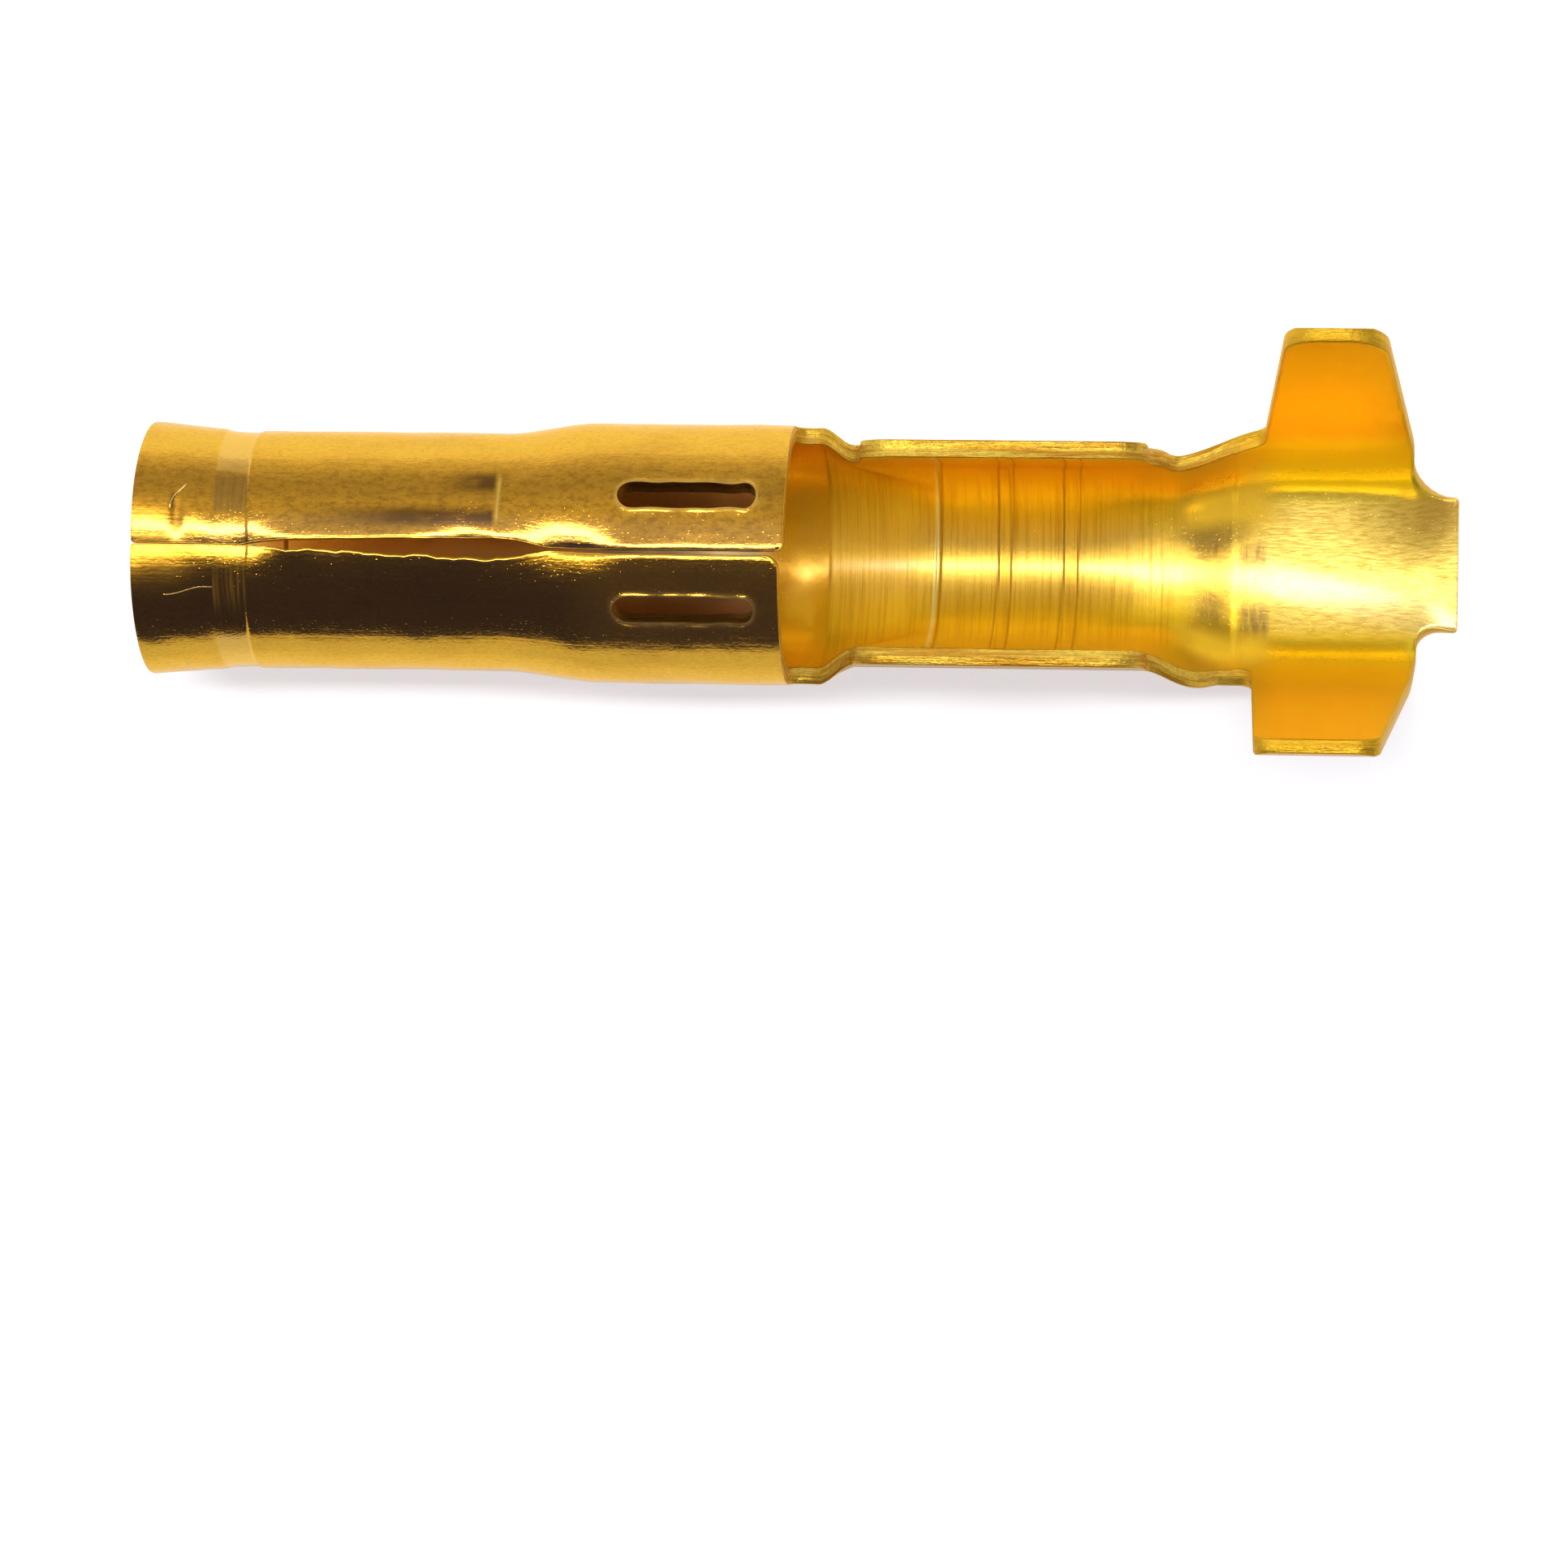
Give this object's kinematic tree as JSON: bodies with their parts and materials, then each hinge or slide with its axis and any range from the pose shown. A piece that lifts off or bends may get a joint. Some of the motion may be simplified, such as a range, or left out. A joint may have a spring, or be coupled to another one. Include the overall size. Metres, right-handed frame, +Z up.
{
  "type": "female bullet crimp terminal",
  "caption": "Rolled sheet-brass socket with a slit, slotted barrel that grips a round pin, and open barrels behind it to crimp on a wire and its insulation.",
  "frame": {"origin": "on the surface that the terminal lies on, under the middle of its length and width", "axes": "+X along the terminal from the mouth to the tail, +Z up, with the seam and the wings upwards"},
  "size_m": [0.0258, 0.008, 0.0075],
  "materials": {
    "brass": "bright rolled strip with fine die lines"
  },
  "bodies": {
    "root": {"socket_terminal": "brass"}
  },
  "joints": []
}
